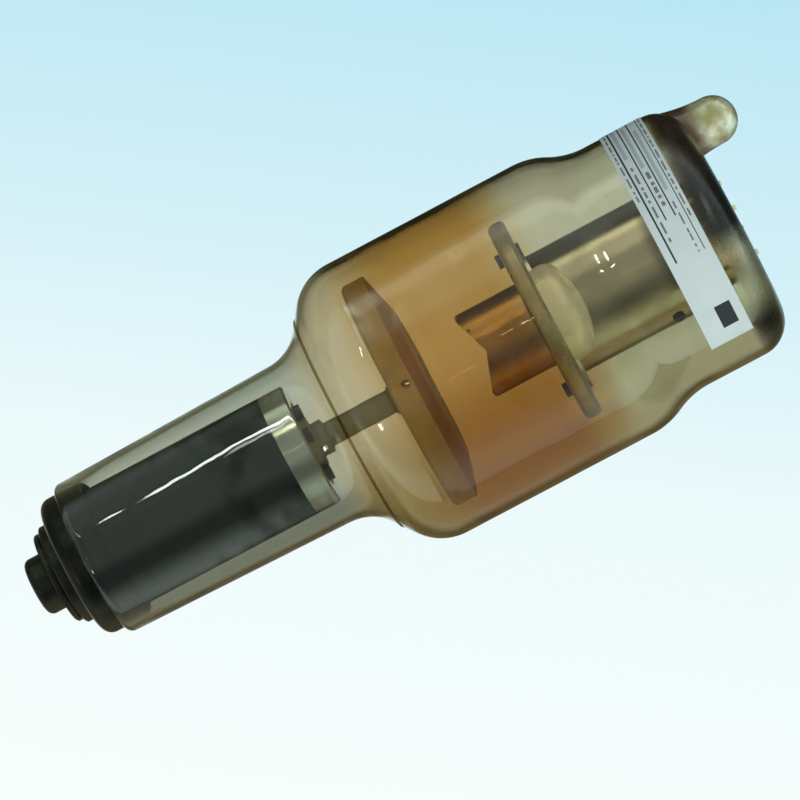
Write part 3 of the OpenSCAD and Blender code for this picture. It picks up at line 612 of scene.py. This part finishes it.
# %% [markdown]
# ## Backdrop
# The floor is a broad flat sheet below the tube. Its colour fades from sky blue at the
# picture's top to almost white at its bottom, and it glows evenly, so no shadow falls on it.
# In a mirrored ray the same sheet has dark bands, which give the glass its dark outlines, and
# a scattered ray sees one plain grey.

# %% Floor
ROLL = math.radians(27.9)
RIGHT = Vector((math.cos(ROLL), -math.sin(ROLL), 0))
UP = Vector((math.sin(ROLL), math.cos(ROLL), 0))
AIM = Vector((0.1233, -0.0009, 0))
SLANT = 0.12
FLOOR_Z = -0.2
FLOOR_HALF = 2.5
# (height in the picture, colour), with the picture's middle at 0
SKY = [(-0.15, srgb(247, 254, 252)), (-0.028, srgb(236, 250, 251)), (0.041, srgb(214, 241, 248)),
       (0.14, srgb(187, 231, 244))]


def backdrop():
    """A sheet that glows: a sky to the camera, bands in a mirror, grey to a scattered ray."""
    m = Mat("backdrop_look")
    x, y, z = m.position()
    up = m.math("ADD", m.math("MULTIPLY", x, UP.x), m.math("MULTIPLY", y, UP.y))
    side = m.math("ADD", m.math("MULTIPLY", x, RIGHT.x), m.math("MULTIPLY", y, RIGHT.y))
    height = m.math("ADD", up, m.math("MULTIPLY", side, SLANT))
    middle = AIM.dot(UP) + SLANT * AIM.dot(RIGHT)
    sky_fade = m.ramp(height, [(middle + place, colour) for place, colour in SKY])
    path = m.add("ShaderNodeLightPath")
    mirrored = m.math("GREATER_THAN", path.outputs["Glossy Depth"], 0.5)
    scattered = m.math("GREATER_THAN", path.outputs["Diffuse Depth"], 0.5)
    reach = m.math("SUBTRACT", y, AIM.y)
    # The high side is dark, and darker beside the bulb than beside the neck
    dark = m.mix(m.span(x, 75 * MM, 125 * MM), srgb(112, 114, 92), srgb(46, 46, 32))
    sheet = m.mix(m.span(reach, 58 * MM, 85 * MM), sky_fade, dark)
    # The low side has a brown band with a pale one beyond it
    sheet = m.mix(m.span(reach, -58 * MM, -85 * MM), sheet, srgb(118, 108, 76))
    sheet = m.mix(m.span(reach, -160 * MM, -280 * MM), sheet, srgb(206, 204, 176))
    # Past the cathode end it is dark grey
    sheet = m.mix(m.span(x, 280 * MM, 420 * MM), sheet, srgb(64, 68, 62))
    shown = m.mix(mirrored, sky_fade, sheet)
    shown = m.mix(scattered, shown, srgb(150, 148, 138))
    light = m.add("ShaderNodeEmission")
    m.link(shown, light.inputs["Color"])
    m.link(light.outputs[0], m.out.inputs["Surface"])
    return m.mat


floor_mesh = bpy.data.meshes.new("floor")
bm = bmesh.new()
bmesh.ops.create_grid(bm, x_segments=8, y_segments=8, size=FLOOR_HALF)
bmesh.ops.translate(bm, verts=bm.verts, vec=(AIM.x, AIM.y, FLOOR_Z))
bm.to_mesh(floor_mesh)
bm.free()
floor = bpy.data.objects.new("floor", floor_mesh)
bpy.context.scene.collection.objects.link(floor)
floor_mesh.materials.append(backdrop())
print("floor ready")

# %% [markdown]
# ## World
# The world is the room that the glass and the metals mirror. Its level changes with a ray's
# angle round the tube's axis, which draws long bands on the cylinders, and with the ray's lean
# along the axis. The camera is near, so each place along the tube mirrors a lean of its own:
# that is how the dark rotor can mirror less than the bright ring beside it. Scattered rays
# also see a glow on the low side and past the cathode end. It lights the pieces inside the
# glass, because a lamp's light is not sent through glass that bends it.

# %% World
world = bpy.data.worlds.new("room")
bpy.context.scene.world = world
world.use_nodes = True
w = Nodes(world.node_tree)
sky = w.tree.nodes["Background"]
ends, across_y, across_z = w.split(w.add("ShaderNodeTexCoord").outputs["Generated"])
turn = w.math("MULTIPLY", w.math("ARCTAN2", across_y, across_z), 180 / math.pi)


def level_by(value, stops):
    """A level that runs straight between (place, level) stops."""
    return w.ramp(value, [(place, (level, level, level, 1)) for place, level in stops])


# By the angle round the axis, in degrees: the room, its windows, and the glow from below
room = level_by(turn, [(-180, 0.5), (-85, 1.15), (-72, 1.0), (-60, 0.55), (-46, 0.2), (-27, 0.2),
                       (-10, 0.43), (180, 0.43)])
windows = level_by(turn, [(-180, 0), (40, 0), (52, 0.55), (73, 0.55), (78, 1.2), (87, 1.2),
                          (92, 0), (180, 0)])
low_glow = level_by(turn, [(-180, 0.4), (-140, 1.1), (-35, 1.1), (0, 0.15), (30, 0), (180, 0)])
# By the lean along the axis, from -1 to 1: two factors, for the room and for its windows
shade = level_by(ends, [(-1, 1.3), (-0.113, 1.3), (-0.109, 0.3), (-0.085, 0.25), (-0.066, 0.1),
                        (-0.052, 1), (-0.006, 1), (0.004, 1.3), (1, 1.3)])
fading = level_by(ends, [(-1, 0.15), (-0.072, 0.15), (-0.066, 2.4), (-0.056, 2.4), (-0.05, 1),
                         (1, 1)])
end_glow = w.math("MULTIPLY", w.span(ends, 0.2, 0.7), 1.5)
print("room, windows and glow ready")

# %% The world's level and tone
# The camera itself sees a plain pale blue past the floor's edge
path = w.add("ShaderNodeLightPath")
glossy, diffuse = path.outputs["Glossy Depth"], path.outputs["Diffuse Depth"]
scattered = w.math("GREATER_THAN", diffuse, 0.5)
bounced = w.math("GREATER_THAN", w.math("ADD", glossy, diffuse), 0.5)
glow = w.math("MULTIPLY", w.math("ADD", low_glow, end_glow), scattered)
level = w.math("ADD", w.math("MULTIPLY", room, shade), w.math("MULTIPLY", windows, fading))
level = w.math("ADD", level, glow)
pick = w.add("ShaderNodeMapRange")
w.link(w.value(pick, {0: bounced, 1: 0.0, 2: 1.0, 3: 1.0, 4: level}), sky.inputs["Strength"])
w.link(w.mix(bounced, srgb(214, 241, 248), (0.84, 1.0, 0.94, 1)), sky.inputs["Color"])
print("world ready, nodes:", len(w.tree.nodes))

# %% [markdown]
# ## Lamps
# A broad lamp overhead lights what stands outside the glass, and no reflection shows it. The
# small cards past the tube's two ends and the spark draw the white glints. The streak is a
# narrow lamp, turned aslant to the tube's axis, which draws the thin line on the rotor.

# %% Lamps


def lamp(name, place, aim, size_x, size_y, power, colour):
    """A rectangle that shines from place towards aim, with size_x along the tube."""
    data = bpy.data.lights.new(name, "AREA")
    data.shape = "RECTANGLE"
    data.size = size_x
    data.size_y = size_y
    data.energy = power
    data.color = colour
    obj = bpy.data.objects.new(name, data)
    bpy.context.scene.collection.objects.link(obj)
    z = (Vector(place) - Vector(aim)).normalized()
    y = z.cross(Vector((1, 0, 0))).normalized()
    x = y.cross(z).normalized()
    obj.matrix_world = Matrix.Translation(place) @ Matrix((x, y, z)).transposed().to_4x4()
    return obj


# The middle of the tube
MIDDLE = (0.12, 0, 0)
soft = lamp("overhead_soft", (0.12, -0.6, 2.1), MIDDLE, 2.0, 2.0, 45, (0.94, 1.0, 0.94))
soft.visible_glossy = False
soft.visible_transmission = False
lamp("card_cathode", (1.25, 0.5, 0.9), MIDDLE, 0.06, 0.17, 1.0, (1.0, 1.0, 0.92))
lamp("card_cathode_small", (1.2, 0.28, 0.98), MIDDLE, 0.1, 0.035, 0.4, (1.0, 1.0, 0.92))
lamp("card_anode", (-0.9, -0.3, 1.0), MIDDLE, 0.12, 0.12, 1.1, (1.0, 0.92, 0.86))
lamp("spark", (0.077, 0.15, 1.4), MIDDLE, 0.03, 0.03, 0.024, (1.0, 0.9, 0.86))
# The streak's place along the axis, its distance, its angle round the axis and its slant
STREAK_X, STREAK_FAR = -0.118, 1.5
STREAK_TURN, STREAK_SLANT = math.radians(43.5), math.radians(62)
streak_place = (STREAK_X, STREAK_FAR * math.sin(STREAK_TURN), STREAK_FAR * math.cos(STREAK_TURN))
streak = lamp("streak", streak_place, (STREAK_X, 0, 0), 0.23, 0.045, 0.8, (0.93, 1.0, 0.94))
streak.matrix_world = streak.matrix_world @ Matrix.Rotation(STREAK_SLANT, 4, "Z")
print("lamps:", len(bpy.data.lights))

# %% [markdown]
# ## Camera
# The camera looks almost straight down on the tube from over its cathode end, and it is rolled
# so that the tube climbs to the right.

# %% Camera
EYE = Vector((0.187, -0.0013, 1.5))
SENSOR = 36
# Metres across the picture at the tube
VIEW_WIDTH = 0.2395
back = (EYE - AIM).normalized()
right = (RIGHT - RIGHT.dot(back) * back).normalized()
up = back.cross(right)
cam_data = bpy.data.cameras.new("camera")
cam_data.sensor_width = SENSOR
cam_data.lens = SENSOR * (EYE - AIM).length / VIEW_WIDTH
cam_data.clip_end = 20
cam = bpy.data.objects.new("camera", cam_data)
bpy.context.scene.collection.objects.link(cam)
cam.matrix_world = Matrix.Translation(EYE) @ Matrix((right, up, back)).transposed().to_4x4()
bpy.context.scene.camera = cam
bpy.context.scene.view_settings.view_transform = "Standard"
print("camera lens", round(cam_data.lens, 1))
